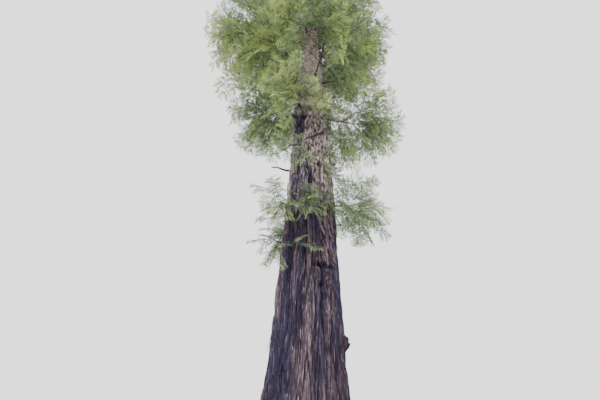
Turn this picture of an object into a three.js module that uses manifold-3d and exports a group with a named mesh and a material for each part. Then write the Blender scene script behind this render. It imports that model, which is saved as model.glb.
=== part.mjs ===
// A coast redwood with a fire-scarred trunk, at two thirds of its real size: 40 m tall.
// Millimetres, +Z up. The origin is the centre of the flat cut at ground level, and -Y faces the viewer.
// Bearings are degrees from +X, counted anticlockwise from above, so 270 faces the viewer.
import * as THREE from "three";
import { mergeVertices } from "three/addons/utils/BufferGeometryUtils.js";
import Module from "manifold-3d";

const wasm = await Module();
wasm.setup();

// Trunk
const TREE_HEIGHT = 40000;
const TRUNK_TIP = 38200;
const BREAST_HEIGHT = 1070;
const BREAST_RADIUS = 1065;
const FLARE_RADIUS = 300;
const FLARE_HEIGHT = 650;
const FLARE_LOBES = 0.75;
const LEAN_OFFSET = 550;
const LEAN_REACH = 9000;
const TRUNK_SIDES = 40;
const TRUNK_RINGS = 20;
const RING_CROWDING = 1.4;

// Ridges that run up the trunk from its roots: where each faces, half its width in degrees,
// how far it swells as a share of the radius, and the height over which it dies away.
const BUTTRESSES = [
  { bearing: 22, spread: 15, swell: 0.08, fade: 9000 },
  { bearing: 66, spread: 13, swell: 0.1, fade: 7000 },
  { bearing: 110, spread: 16, swell: 0.07, fade: 12000 },
  { bearing: 156, spread: 14, swell: 0.1, fade: 8000 },
  { bearing: 200, spread: 12, swell: 0.11, fade: 16000 },
  { bearing: 240, spread: 9, swell: 0.07, fade: 7000 },
  { bearing: 271, spread: 11, swell: 0.13, fade: 7000 },
  { bearing: 304, spread: 10, swell: 0.08, fade: 6000 },
  { bearing: 338, spread: 14, swell: 0.12, fade: 14000 },
];
const BUTTRESS_ALOFT = 0.22;

// Ribs of bark between the main furrows, two sides of the trunk to each. They stand out by this much
// at breast height, less aloft, and come and go round the trunk and up it.
const RIBS = TRUNK_SIDES / 2;
const RIB_STAND = 58;
const RIB_WAVES = 3;
const RIB_RISE = 5200;

// Hollows that fire has eaten into the trunk: each narrows to a point at its head.
const SCARS = [
  { bearing: 226, spread: 24, foot: -2500, head: 6200, depth: 120 },
  { bearing: 286, spread: 27, foot: 4600, head: 9000, depth: 130 },
];
const SCAR_BLEND = 500;

// Burls: where each sits, its radius along the bark and how far it stands out.
const BURLS = [
  { bearing: 345, height: 2790, across: 170, proud: 170 },
  { bearing: 302, height: 4520, across: 310, proud: 105 },
  { bearing: 212, height: 13200, across: 210, proud: 150 },
];

// Crown
const BOUGHS = 24;
const CROWN_FOOT = 13300;
const CROWN_HEAD = 37300;
const CROWN_REACH = 4850;
const FIRST_BEARING = 20;
const GOLDEN_ANGLE = 137.508;
const LOWEST_BOUGH = { rise: 8, sag: 0.24 };
const HIGHEST_BOUGH = { rise: 46, sag: 0.06 };
const BOUGH_CURL = 0.14;
const BOUGH_BEND = 0.3;
const HEIGHT_JITTER = 500;
const BEARING_JITTER = 24;
const RISE_JITTER = 10;
const LIMB_TAPER = 0.86;
const LEADER = { bearing: 250, rise: 86 };
const LIMB_SHARE = 0.2;
const LIMB_SIDES = 5;
const LIMB_STEPS = 3;
const GIRTH_SHARE = 0.0155;
const STEM_SIDES = 3;
const STEM_STEPS = 2;
const STEM_END = 0.68;
const STEM_SINK = 0.04;

// Shoots that stand on the bare trunk under the crown. The long one is a limb with its own foliage.
const SHOOTS = [
  { name: "shoot_low_left", bearing: 226, height: 5550, reach: 850 },
  { name: "shoot_skirt_left", bearing: 232, height: 7150, reach: 1050 },
  { name: "shoot_skirt_front", bearing: 268, height: 7000, reach: 950 },
  { name: "shoot_skirt_right", bearing: 308, height: 7200, reach: 1100 },
  { name: "shoot_middle", bearing: 258, height: 9300, reach: 1000 },
  { name: "shoot_upper", bearing: 290, height: 12000, reach: 1150 },
  { name: "shoot_back_low", bearing: 128, height: 7300, reach: 1150 },
  { name: "shoot_back_high", bearing: 74, height: 10600, reach: 1250 },
];
const SHOOT_SHAPE = { rise: 14, sag: 0.22, girth: 30 };
const LOW_LIMB = { bearing: 4, height: 7700, reach: 2250, rise: 8, sag: 0.1, curl: 0.08, girth: 38 };

// Foliage
const TWIGS = 5;
const FIRST_TWIG = 0.45;
const TWIGS_END = 0.84;
const TWIG_SPAN = 0.34;
const TWIG_SIDES = 3;
const TWIG_GIRTH = 0.35;
const TWIG_TAPER = 0.6;
const FIRST_SPLAY = 64;
const LAST_SPLAY = 40;
const SPLAY_JITTER = 12;
const ROLL_JITTER = 40;
const MASS_FLATNESS = 0.75;
const SPRAY_SPAN = 0.46;
const SPRAY_DROOP = 0.35;
const SPRAY_ROLL = 110;
const SWAY_JITTER = 70;
const SPRAY_TRIES = 4;
const LEADER_TWIGS = 6;
const SHOOT_TWIGS = 3;
const SPRAY_THICKNESS = 0.05;
const SPRAY_APEX = 0.26;
const CLEAR_OF_TRUNK = 60;
const CLEAR_OF_LIMBS = 25;
const SEAT_GAP = 0.35;
const SMALLEST_EDGE = 0.1;

// The toothed outline of one spray of needles, from root to tip, as shares of its length.
const SPRAY_HALF = [
  [0.36, 0.34],
  [0.5, 0.19],
  [0.78, 0.28],
];

// Where the sprays sit on a twig: how far along it, and how many degrees each turns aside.
const SPRAY_PLACES = [
  { along: 0.94, sway: 0 },
  { along: 0.6, sway: 56 },
  { along: 0.34, sway: -56 },
];

const UP = new THREE.Vector3(0, 0, 1);
const BARK = new THREE.MeshStandardMaterial({ color: "#6d5a55", roughness: 0.95, metalness: 0 });
const LIMB_BARK = new THREE.MeshStandardMaterial({ color: "#54453d", roughness: 0.9, metalness: 0 });
const NEEDLES = new THREE.MeshStandardMaterial({ color: "#5f7a3e", roughness: 0.7, metalness: 0 });

const radians = THREE.MathUtils.degToRad;
const clamp = THREE.MathUtils.clamp;
const mix = THREE.MathUtils.lerp;

// A number from 0 to 1 that looks random and depends only on the two indices.
function scatter(index, trait) {
  const wave = Math.sin(index * 12.9898 + trait * 78.233) * 43758.5453;
  return wave - Math.floor(wave);
}

function hump(distance) {
  return Math.exp(-distance * distance);
}

function turnBetween(a, b) {
  return THREE.MathUtils.euclideanModulo(a - b + 180, 360) - 180;
}

function horizontal(bearing) {
  return new THREE.Vector3(Math.cos(radians(bearing)), Math.sin(radians(bearing)), 0);
}

// The trunk leans to +X, most of it within the first third of its height.
function trunkAxis(height) {
  return new THREE.Vector3(LEAN_OFFSET * (1 - Math.exp(-height / LEAN_REACH)), 0, height);
}

function plainRadius(height) {
  return (BREAST_RADIUS * (TREE_HEIGHT - height)) / (TREE_HEIGHT - BREAST_HEIGHT);
}

function scarDepth(scar, bearing, height) {
  const open = Math.sqrt(clamp((scar.head - height) / (scar.head - scar.foot), 0, 1));
  if (open === 0) return 0;
  const across = turnBetween(bearing, scar.bearing) / (scar.spread * open);
  const started = 1 / (1 + Math.exp((scar.foot - height) / SCAR_BLEND));
  return scar.depth * Math.min(1, 2 * open) * started * Math.exp(-(across ** 4));
}

function ribStand(bearing, height) {
  const strength = 0.65 + 0.35 * Math.sin(radians(bearing) * RIB_WAVES + height / RIB_RISE);
  return (RIB_STAND * strength * Math.cos(radians(bearing) * RIBS) * plainRadius(height)) / BREAST_RADIUS;
}

// The trunk's radius towards a bearing, with its root flare, buttresses, ribs and fire scars.
function trunkRadius(bearing, height) {
  const plain = plainRadius(height);
  const flare = FLARE_RADIUS * Math.exp(-height / FLARE_HEIGHT);
  let radius = plain + flare + ribStand(bearing, height);
  for (const ridge of BUTTRESSES) {
    const crest = hump(turnBetween(bearing, ridge.bearing) / ridge.spread);
    const strength = ridge.swell * (BUTTRESS_ALOFT + (1 - BUTTRESS_ALOFT) * Math.exp(-height / ridge.fade));
    radius += crest * (plain * strength + flare * FLARE_LOBES);
  }
  for (const scar of SCARS) radius -= scarDepth(scar, bearing, height);
  return radius;
}

// Turns a three.js geometry into a solid, once each of its vertices is moved by place().
function solidFrom(geometry, place) {
  const bare = new THREE.BufferGeometry();
  const moved = geometry.getAttribute("position").clone();
  const point = new THREE.Vector3();
  for (let i = 0; i < moved.count; i++) {
    place(point.fromBufferAttribute(moved, i));
    moved.setXYZ(i, point.x, point.y, point.z);
  }
  bare.setAttribute("position", moved);
  bare.setIndex(geometry.index);
  const merged = mergeVertices(bare, 1e-3);
  return new wasm.Manifold(
    new wasm.Mesh({
      numProp: 3,
      vertProperties: merged.getAttribute("position").array,
      triVerts: new Uint32Array(merged.index.array),
    }),
  );
}

function geometryFrom(solid) {
  const mesh = solid.getMesh();
  const geometry = new THREE.BufferGeometry();
  geometry.setAttribute("position", new THREE.BufferAttribute(mesh.vertProperties.slice(), 3));
  geometry.setIndex(new THREE.BufferAttribute(mesh.triVerts.slice(), 1));
  geometry.computeVertexNormals();
  return geometry;
}

// The trunk's solid, grown outwards and upwards by a margin when it is to cut the pieces that meet it.
function trunkSolid(margin) {
  const unit = new THREE.CylinderGeometry(1, 1, 1, TRUNK_SIDES, TRUNK_RINGS);
  return solidFrom(unit, (point) => {
    const height = (TRUNK_TIP + margin) * (point.y + 0.5) ** RING_CROWDING;
    const across = Math.hypot(point.x, point.z);
    const bearing = THREE.MathUtils.radToDeg(Math.atan2(-point.z, point.x));
    const radius = across * (trunkRadius(bearing, height) + margin);
    point.copy(trunkAxis(height)).addScaledVector(horizontal(bearing), radius);
  });
}

function burlSolid(burl) {
  const outward = horizontal(burl.bearing);
  const along = new THREE.Vector3().crossVectors(UP, outward);
  const centre = trunkAxis(burl.height).addScaledVector(outward, trunkRadius(burl.bearing, burl.height));
  return solidFrom(new THREE.SphereGeometry(1, 8, 6), (point) => {
    const { x, y, z } = point;
    point.copy(centre);
    point.addScaledVector(outward, x * burl.proud).addScaledVector(along, -z * burl.across);
    point.addScaledVector(UP, y * burl.across * 1.2);
  });
}

// A limb's course: it heads off along its rise, sags under its weight and curls up again at its tip.
function course({ start, bearing, reach, rise, sag = 0, curl = 0, bend = 0, girth }) {
  const across = horizontal(bearing + 90);
  const heading = horizontal(bearing).multiplyScalar(Math.cos(radians(rise)));
  heading.addScaledVector(UP, Math.sin(radians(rise)));
  const at = (t) =>
    start
      .clone()
      .addScaledVector(heading, reach * t)
      .addScaledVector(UP, reach * (curl * t ** 4 - sag * t * t))
      .addScaledVector(across, reach * bend * t * t);
  const along = (t) => at(t + 0.01).sub(at(t - 0.01)).normalize();
  return { at, along, across, reach, radius: (t) => girth * (1 - LIMB_TAPER * t) };
}

// Each bough leaves the trunk a golden angle round from the last. Low boughs are long and droop,
// and high ones are short and climb.
function boughCourse(index) {
  const share = index / (BOUGHS - 1);
  const jitter = HEIGHT_JITTER * (scatter(index, 1) - 0.5) * (1 - share);
  const height = mix(CROWN_FOOT, CROWN_HEAD, share) + jitter;
  const aloft = (height - CROWN_FOOT) / (TREE_HEIGHT - CROWN_FOOT);
  const outline = (1 - aloft) ** 0.75 * (0.82 + 0.9 * aloft);
  const reach = CROWN_REACH * outline * mix(0.85, 1.1, scatter(index, 2));
  return course({
    start: trunkAxis(height),
    bearing: FIRST_BEARING + GOLDEN_ANGLE * index + BEARING_JITTER * (scatter(index, 3) - 0.5),
    reach,
    rise: mix(LOWEST_BOUGH.rise, HIGHEST_BOUGH.rise, aloft) + RISE_JITTER * (scatter(index, 4) - 0.5),
    sag: mix(LOWEST_BOUGH.sag, HIGHEST_BOUGH.sag, aloft),
    curl: BOUGH_CURL,
    bend: BOUGH_BEND * (scatter(index, 5) - 0.5),
    girth: GIRTH_SHARE * reach + 8,
  });
}

function shootCourse({ bearing, height, reach }) {
  const whole = plainRadius(height) + reach;
  return course({ ...SHOOT_SHAPE, start: trunkAxis(height), bearing, reach: whole });
}

function leaderCourse() {
  return course({
    ...LEADER,
    start: trunkAxis(TRUNK_TIP),
    reach: (TREE_HEIGHT - TRUNK_TIP) / Math.sin(radians(LEADER.rise)),
    girth: plainRadius(TRUNK_TIP),
  });
}

// A tapering limb along a course, from one share of its length to another.
function limbSolid(limb, from, to, sides, steps) {
  const unit = new THREE.CylinderGeometry(1, 1, 1, sides, steps);
  return solidFrom(unit, (point) => {
    const t = mix(from, to, point.y + 0.5);
    const tangent = limb.along(t);
    const side = new THREE.Vector3().crossVectors(tangent, limb.across).normalize();
    const level = new THREE.Vector3().crossVectors(tangent, side);
    const { x, z } = point;
    point.copy(limb.at(t)).addScaledVector(level, x * limb.radius(t));
    point.addScaledVector(side, z * limb.radius(t));
  });
}

function twigSolid(root, tip, girth) {
  const heading = tip.clone().sub(root).normalize();
  const across = new THREE.Vector3().crossVectors(heading, UP).normalize();
  const line = { at: (t) => root.clone().lerp(tip, t), along: () => heading, across };
  return limbSolid({ ...line, radius: (t) => girth * (1 - TWIG_TAPER * t) }, 0, 1, TWIG_SIDES, 1);
}

// A spray of needles: a thin toothed blade that lies along heading, rolled about it from level.
function spraySolid(root, heading, length, roll) {
  const level = new THREE.Vector3().crossVectors(heading, UP).normalize();
  const width = level.applyAxisAngle(heading, roll);
  const face = new THREE.Vector3().crossVectors(width, heading);
  const mirrored = SPRAY_HALF.map(([along, out]) => [along, -out]).reverse();
  const outline = [[0, 0], ...SPRAY_HALF, [1, 0], ...mirrored];
  const blade = new THREE.SphereGeometry(1, outline.length, 2);
  return solidFrom(blade, (point) => {
    const turn = THREE.MathUtils.euclideanModulo(Math.atan2(point.z, -point.x), 2 * Math.PI);
    const corner = Math.round((turn / (2 * Math.PI)) * outline.length) % outline.length;
    const pole = Math.abs(point.y) > 0.5;
    const [along, out] = pole ? [SPRAY_APEX, 0] : outline[corner];
    const height = pole ? Math.sign(point.y) * SPRAY_THICKNESS * 0.5 : 0;
    point.copy(root).addScaledVector(heading, length * along);
    point.addScaledVector(width, length * out).addScaledVector(face, length * height);
  });
}

const courses = new Map();
for (let index = 0; index < BOUGHS; index++) courses.set(`bough_${index + 1}`, boughCourse(index));
courses.set("low_limb", course({ ...LOW_LIMB, start: trunkAxis(LOW_LIMB.height) }));
courses.set("leader", leaderCourse());
for (const shoot of SHOOTS) courses.set(shoot.name, shootCourse(shoot));

// Points along every course, by which a mass knows its own space from its neighbours'.
const COURSE_MARKS = 24;
const marks = new Map();
for (const [name, limb] of courses) {
  const steps = Array.from({ length: COURSE_MARKS + 1 }, (_, step) => limb.at(step / COURSE_MARKS));
  marks.set(name, steps);
}

function distanceToCourse(point, name) {
  return Math.sqrt(Math.min(...marks.get(name).map((mark) => mark.distanceToSquared(point))));
}

// A point is in a mass's space if its own limb is the nearest one and the trunk is well clear.
function inOwnSpace(point, owner) {
  const fromAxis = point.clone().sub(trunkAxis(point.z)).setZ(0);
  const bearing = THREE.MathUtils.radToDeg(Math.atan2(fromAxis.y, fromAxis.x));
  const clearance = trunkRadius(bearing, point.z) + CLEAR_OF_TRUNK;
  if (point.z < TRUNK_TIP && fromAxis.length() < clearance) return false;
  if (point.z > TREE_HEIGHT + 1) return false;
  const own = distanceToCourse(point, owner);
  return [...courses.keys()].every(
    (name) => name === owner || distanceToCourse(point, name) > own + CLEAR_OF_LIMBS,
  );
}

function staysInSpace(solid, owner) {
  const { vertProperties } = solid.getMesh();
  for (let i = 0; i < vertProperties.length; i += 3) {
    const corner = new THREE.Vector3().fromArray(vertProperties, i);
    if (!inOwnSpace(corner, owner)) return false;
  }
  return true;
}

// The twigs of a mass: they leave the stem by turns on either side, or all round an upright leader.
function twigsOf(name, limb, from, count) {
  const order = [...courses.keys()].indexOf(name);
  return Array.from({ length: count }, (_, twig) => {
    const seed = order * 50 + twig;
    const share = (twig + FIRST_TWIG) / count;
    const t = mix(from, TWIGS_END, share);
    const tangent = limb.along(t);
    const roll = radians(GOLDEN_ANGLE * twig + ROLL_JITTER * (scatter(seed, 6) - 0.5));
    const over = new THREE.Vector3().crossVectors(tangent, limb.across);
    const out = limb.across.clone().multiplyScalar(Math.cos(roll));
    out.addScaledVector(over, Math.sin(roll) * MASS_FLATNESS).normalize();
    const splay = radians(mix(FIRST_SPLAY, LAST_SPLAY, share) + SPLAY_JITTER * (scatter(seed, 7) - 0.5));
    const heading = tangent.clone().multiplyScalar(Math.cos(splay)).addScaledVector(out, Math.sin(splay));
    const fullness = Math.sin(Math.PI * mix(0.3, 0.85, share));
    const length = limb.reach * TWIG_SPAN * fullness * mix(0.8, 1.1, scatter(seed, 8));
    return { seed, root: limb.at(t), heading, length, girth: limb.radius(t) * TWIG_GIRTH + 4 };
  });
}

// A spray at one of its places on a twig. Each try turns it another way about its root.
function sprayOn(twig, place, size, attempt) {
  const { along, sway } = SPRAY_PLACES[place];
  const seed = twig.seed + attempt * 1000;
  const roll = radians(SPRAY_ROLL) * (scatter(seed, 9 + place) - 0.5);
  const turn = radians(sway + SWAY_JITTER * (scatter(seed, 15 + place) - 0.5) * Math.min(attempt, 1));
  const heading = twig.heading.clone().applyAxisAngle(UP, turn);
  heading.addScaledVector(UP, -SPRAY_DROOP).normalize();
  const length = size * mix(0.85, 1.15, scatter(seed, 12 + place));
  const root = twig.root.clone().addScaledVector(twig.heading, twig.length * along);
  return spraySolid(root, heading, length, roll);
}

// The first try at a spray that keeps to its mass's space and crosses none of the pieces already there.
function fittingSpray(twig, place, size, owner, others) {
  for (let attempt = 0; attempt < SPRAY_TRIES; attempt++) {
    const spray = sprayOn(twig, place, size, attempt);
    const crossed = others.some((other) => !spray.intersect(other).isEmpty());
    if (!crossed && staysInSpace(spray, owner)) return [spray];
  }
  return [];
}

// The spray that carries the stem on to the end of its course.
function stemSpray(limb) {
  const root = limb.at(STEM_END - STEM_SINK);
  const heading = limb.at(1).sub(root);
  return spraySolid(root, heading.clone().normalize(), heading.length(), 0);
}

// A mass of foliage: a stem with twigs, and sprays fused to them wherever they keep to their space.
function massSolid(name, limb, from, count, size) {
  const pieces = [limbSolid(limb, from, STEM_END, STEM_SIDES, STEM_STEPS)];
  const last = stemSpray(limb);
  if (staysInSpace(last, name)) pieces.push(last);
  for (const twig of twigsOf(name, limb, from, count)) {
    const tip = twig.root.clone().addScaledVector(twig.heading, twig.length);
    if (!inOwnSpace(tip, name)) continue;
    const others = [...pieces];
    for (const place of SPRAY_PLACES.keys()) others.push(...fittingSpray(twig, place, size, name, others));
    pieces.push(twigSolid(twig.root, tip, twig.girth), ...others.slice(pieces.length));
  }
  return wasm.Manifold.union(pieces).simplify(SMALLEST_EDGE);
}

const tree = new THREE.Group();

function addNode(name, solid, material) {
  const largest = solid.decompose().reduce((a, b) => (a.volume() > b.volume() ? a : b));
  const mesh = new THREE.Mesh(geometryFrom(largest), material);
  mesh.name = name;
  tree.add(mesh);
}

const trunkCutter = trunkSolid(SEAT_GAP);
addNode("trunk", wasm.Manifold.union([trunkSolid(0), ...BURLS.map(burlSolid)]), BARK);

// The share of a course that lies inside the given part of the trunk's radius.
function shareInTrunk(limb, part) {
  return (part * plainRadius(limb.at(0).z)) / limb.reach;
}

// The share of a course at which its limb ends and its mass of foliage takes over.
function limbEnd(limb) {
  return mix(shareInTrunk(limb, 1), 1, LIMB_SHARE);
}

for (const [name, limb] of courses) {
  const size = limb.reach * SPRAY_SPAN;
  if (name.startsWith("bough") || name === "low_limb") {
    const end = limbEnd(limb);
    const from = end + SEAT_GAP / limb.reach;
    const bough = limbSolid(limb, shareInTrunk(limb, 0.5), end, LIMB_SIDES, LIMB_STEPS);
    addNode(name, bough.subtract(trunkCutter), LIMB_BARK);
    addNode(name.replace(/bough|limb/, "foliage"), massSolid(name, limb, from, TWIGS, size), NEEDLES);
  } else if (name === "leader") {
    const mass = massSolid(name, limb, 0, LEADER_TWIGS, size);
    addNode("leader_foliage", mass.subtract(trunkCutter), NEEDLES);
  } else {
    const mass = massSolid(name, limb, shareInTrunk(limb, 0.75), SHOOT_TWIGS, size);
    addNode(name, mass.subtract(trunkCutter), NEEDLES);
  }
}

export default tree;
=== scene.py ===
import itertools
import math
from types import SimpleNamespace

import bmesh
import bpy
import numpy as np
from mathutils import Euler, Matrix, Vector


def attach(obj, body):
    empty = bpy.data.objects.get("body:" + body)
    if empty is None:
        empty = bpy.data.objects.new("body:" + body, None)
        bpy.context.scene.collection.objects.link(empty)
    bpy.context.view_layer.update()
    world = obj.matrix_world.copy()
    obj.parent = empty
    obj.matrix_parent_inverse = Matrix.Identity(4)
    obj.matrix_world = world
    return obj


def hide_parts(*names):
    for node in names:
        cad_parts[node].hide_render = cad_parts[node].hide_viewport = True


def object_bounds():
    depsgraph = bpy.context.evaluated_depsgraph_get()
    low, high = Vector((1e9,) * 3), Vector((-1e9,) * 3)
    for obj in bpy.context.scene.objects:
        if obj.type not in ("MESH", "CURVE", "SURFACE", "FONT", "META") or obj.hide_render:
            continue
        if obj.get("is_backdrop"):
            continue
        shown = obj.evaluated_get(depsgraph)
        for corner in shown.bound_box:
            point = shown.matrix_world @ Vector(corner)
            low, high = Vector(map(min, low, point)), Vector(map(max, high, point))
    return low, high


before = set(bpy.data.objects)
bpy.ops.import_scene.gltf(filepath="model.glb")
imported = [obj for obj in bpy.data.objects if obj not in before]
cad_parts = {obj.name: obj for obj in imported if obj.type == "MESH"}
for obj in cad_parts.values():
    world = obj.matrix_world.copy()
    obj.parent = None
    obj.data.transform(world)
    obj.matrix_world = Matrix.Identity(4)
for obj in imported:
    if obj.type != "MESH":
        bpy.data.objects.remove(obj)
CAD_LOW, CAD_HIGH = (np.array(corner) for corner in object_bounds())

# A coast redwood with a fire-scarred trunk, at two thirds of its real size. Metres, +Z up, origin at the
# flat cut under the trunk. Bearings are degrees from +X, counted anticlockwise from above, so 270 faces
# the camera.

# Trunk, as its solid
TREE_HEIGHT = 40.0
TRUNK_TIP = 38.2
BREAST_HEIGHT = 1.07
BREAST_RADIUS = 1.065
FLARE_RADIUS = 0.3
FLARE_HEIGHT = 0.65
FLARE_LOBES = 0.75
LEAN_OFFSET = 0.55
LEAN_REACH = 9.0

# Ridges that run up from the roots: bearing, half width in degrees, swell, height over which it fades.
BUTTRESSES = [
    (22, 15, 0.08, 9.0),
    (66, 13, 0.1, 7.0),
    (110, 16, 0.07, 12.0),
    (156, 14, 0.1, 8.0),
    (200, 12, 0.11, 16.0),
    (240, 9, 0.07, 7.0),
    (271, 11, 0.13, 7.0),
    (304, 10, 0.08, 6.0),
    (338, 14, 0.12, 14.0),
]
BUTTRESS_ALOFT = 0.22

# Ribs of bark between the main furrows, which come and go round the trunk and up it.
RIBS = 20
RIB_STAND = 0.058
RIB_WAVES = 3
RIB_RISE = 5.2
RIB_MEAN, RIB_VARIATION = 0.65, 0.35

# Fire hollows: bearing, half width in degrees, foot, head, depth.
SCARS = [
    (226, 24, -2.5, 6.2, 0.12),
    (286, 27, 4.6, 9.0, 0.13),
]
SCAR_BLEND = 0.5

# Burls: bearing, height, radius along the bark, how far each stands out.
BURLS = [
    (345, 2.79, 0.17, 0.17),
    (302, 4.52, 0.31, 0.105),
    (212, 13.2, 0.21, 0.15),
]
BURL_STRETCH = 1.2

# How much of a burl's height is plain dome, and the knobs and warts on it: their sizes, how strong the warts
# are against the knobs, and how far the knobs stand out.
BURL_FILL = 0.55
KNOB_SIZE = (0.13, 0.13, 0.11)
WART_SIZE = 0.055
WART_SHARE = 0.5
KNOB_STAND = 0.075

# Bark
TRUNK_COLUMNS = 420
LOWER_ROWS = 235
UPPER_ROWS = 80
TRUNK_JOIN = 13.0
PLATE_STAND = 0.045
CHAR_LOSS = 0.02

# The bark is at its thickest where the trunk has this radius or more, and thins to this share of that aloft.
FULL_BARK_RADIUS = 0.9
THINNEST_BARK = 0.12

# The braided nets of furrows, coarse to fine: how far apart, how long, how wide and how deep they are.
FURROW_NETS = [
    {"apart": 0.34, "long": 4.6, "wide": 0.15, "deep": 0.08, "seed": 11},
    {"apart": 0.16, "long": 2.1, "wide": 0.17, "deep": 0.06, "seed": 23},
    {"apart": 0.08, "long": 0.95, "wide": 0.2, "deep": 0.032, "seed": 37},
    {"apart": 0.04, "long": 0.42, "wide": 0.3, "deep": 0.012, "seed": 41},
]

# A furrow of this depth darkens the bark in full, as painted shade. Shallower ones darken it by this power
# of their share of that.
DEEPEST = FURROW_NETS[0]["deep"]
FINE_FURROW_FADE = 0.35

# How far the furrows wander, and over what lengths.
WANDER = 0.07
WANDER_SIZE = (0.7, 0.7, 2.4)

# Aloft the furrows break up: from this height on they are this many times shorter.
FLAKES_FROM = 7.2
FLAKES_SHORTER = 2.6

# Where fire has charred the bark: bearing, half width in degrees, foot, head, how strongly.
BURNS = [
    (221, 27, -1.0, 3.7, 1.0),
    (222, 14, 3.3, 7.4, 1.0),
    (251, 7, 3.0, 6.2, 0.95),
    (216, 14, 5.6, 7.3, 1.0),
    (291, 16, 5.65, 7.4, 1.0),
    (270, 22, 6.55, 7.5, 0.9),
    (288, 9, 1.7, 4.6, 0.85),
    (332, 15, 3.1, 6.6, 0.95),
    (318, 14, 2.6, 3.5, 0.9),
    (222, 17, 7.6, 8.9, 1.0),
    (250, 12, 7.6, 9.7, 0.62),
    (268, 6, 7.9, 9.0, 0.95),
    (234, 8, 8.6, 11.4, 1.0),
    (226, 24, 10.9, 12.7, 0.9),
    (300, 7, -1.0, 1.6, 0.7),
    (60, 24, -1.0, 4.2, 1.0),
    (76, 13, 3.9, 7.2, 0.8),
    (120, 11, -1.0, 2.6, 0.8),
    (166, 15, -1.0, 5.2, 0.85),
    (18, 11, -1.0, 3.2, 0.8),
    (140, 10, 6.2, 9.0, 0.6),
    (40, 12, 8.6, 11.0, 0.7),
]

# Strips that the fire has spared, where the bark is paler too: bearing, half width in degrees, foot, head.
SPARED = [
    (265, 15, -1.0, 3.1),
    (269, 9, 2.9, 5.8),
    (239, 3.5, 3.4, 5.8),
    (199, 12, 3.4, 8.6),
    (322, 8, 5.1, 8.0),
    (310, 3.5, 5.0, 6.9),
    (215, 8, 9.0, 10.6),
    (304, 6, 1.4, 2.5),
    (92, 9, -1.0, 6.0),
    (5, 8, 1.0, 7.0),
]

# The edges of burned and spared patches: the lengths over which they are ragged, how ragged their sides
# and ends are, where the sides fade as shares of the half width, where the ends fade as shares of the
# fringe, and the fringes in metres. A spared strip takes this share of the char away.
RAGGED_FINE, RAGGED_BROAD = (0.06, 0.06, 1.1), (0.25, 0.25, 0.9)
BROAD_SHARE = 0.6
RAGGED_SIDES, RAGGED_ENDS = 0.3, 0.7
SIDE_FADE = (0.8, 1.1)
END_FADE = 0.6
BURN_FRINGE, SPARED_FRINGE = 0.6, 0.5
SPARED_SHARE = 0.95

# Pits in the bark, dark with painted shade: bearing, height, half width, half height, depth.
PITS = [
    (300, 4.97, 0.34, 0.09, 0.2),
    (316, 4.62, 0.07, 0.08, 0.08),
    (291, 4.3, 0.09, 0.08, 0.08),
    (296, 3.95, 0.1, 0.09, 0.07),
    (268, 8.4, 0.09, 0.2, 0.1),
    (262, 10.15, 0.13, 0.08, 0.12),
    (275, 10.3, 0.07, 0.07, 0.1),
    (301, 10.2, 0.08, 0.09, 0.1),
    (293, 9.3, 0.06, 0.14, 0.09),
    (283, 11.2, 0.07, 0.09, 0.08),
    (310, 8.9, 0.05, 0.13, 0.07),
    (244, 12.3, 0.16, 0.14, 0.1),
    (230, 11.9, 0.12, 0.12, 0.1),
    (84, 5.1, 0.12, 0.2, 0.08),
    (150, 9.4, 0.1, 0.16, 0.08),
]

# How strongly a metre of pit darkens the bark with the furrows' painted shade and marks it as charred, and
# how strongly a metre of burl marks it as warty.
PIT_SHADE, PIT_CHAR, BURL_WARTS = 14, 12, 12

# Loose strips of bark that hang from their upper ends: how many, bearing and half spread in degrees,
# foot, head, length, width, how far their lower ends stand off, and how pale they are at most.
LOOSE_BARK = [
    (460, 0, 180, 0.4, 12.6, 0.5, 0.034, 0.03, 0.7),
    (60, 317, 12, 5.8, 7.5, 0.55, 0.075, 0.08, 1.8),
    (12, 316, 10, 6.1, 7.3, 0.8, 0.1, 0.09, 2.2),
    (4, 299, 4, 6.6, 6.85, 0.6, 0.19, 0.1, 8.0),
    (60, 306, 15, 5.15, 5.9, 0.2, 0.06, 0.06, 1.9),
    (190, 292, 44, 7.4, 12.8, 0.26, 0.06, 0.06, 1.2),
    (60, 266, 24, 0.6, 5.4, 0.6, 0.04, 0.035, 0.7),
]

# A strip's outline from its upper end down: share of its length, share of its width. Then its thickness, how
# much of that it loses by its lower end, and how wide its outer face is against its inner one.
STRIP_OUTLINE = [(0, 0.45), (0.3, 1), (0.65, 0.7), (0.88, 0.32), (1, 0.04)]
STRIP_THICKNESS = 0.025
STRIP_THINNING = 0.7
OUTER_FACE = 0.8
STRIP_SEED = 17

# How much strips differ: least and most of the length, width and stand-off of their lot, and their twist
# in degrees. They stand off by this power of the way down, end this far above the ground at least, and
# lose this share of their char as they pale.
LENGTH_SPREAD, WIDTH_SPREAD, LIFT_SPREAD = (0.4, 1.5), (0.5, 1.4), (0.1, 1.6)
STRIP_TWIST = 3
LIFT_POWER = 1.5
ABOVE_GROUND = 0.1
PALE_CHAR = 0.4

# Dead limbs and stubs: how much they thin, swing aside and wander, over what length they wander, how much
# is left of their radius at the broken tip, and how far they swell at the trunk and over what share.
DEAD_TAPER = 0.5
DEAD_BEND = -0.12
DEAD_CROOK = 0.16
CROOK_SIZE = 0.4
BROKEN_TIP = 0.2
COLLAR = 1.2
COLLAR_SHARE = 0.05
DEAD_STEPS, DEAD_SIDES = 24, 8
DEAD_ROUGHNESS = 0.3
DEAD_SEED, CROOK_SEED = 60, 90

# Each dead limb's foot, bearing, reach, rise and radius.
DEAD_LIMBS = [
    ((0.93, -0.7, 11.2), 206, 2.5, -43, 0.045),
    ((0.36, 0.0, 9.9), 24, 1.25, 14, 0.06),
    ((0.4, 0.0, 12.3), 212, 1.2, 22, 0.13),
    ((0.42, 0.0, 12.6), 246, 1.1, 14, 0.12),
    ((0.3, 0.0, 8.4), 96, 1.3, 16, 0.11),
    ((0.3, 0.0, 9.3), 197, 1.6, 8, 0.06),
]

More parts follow.
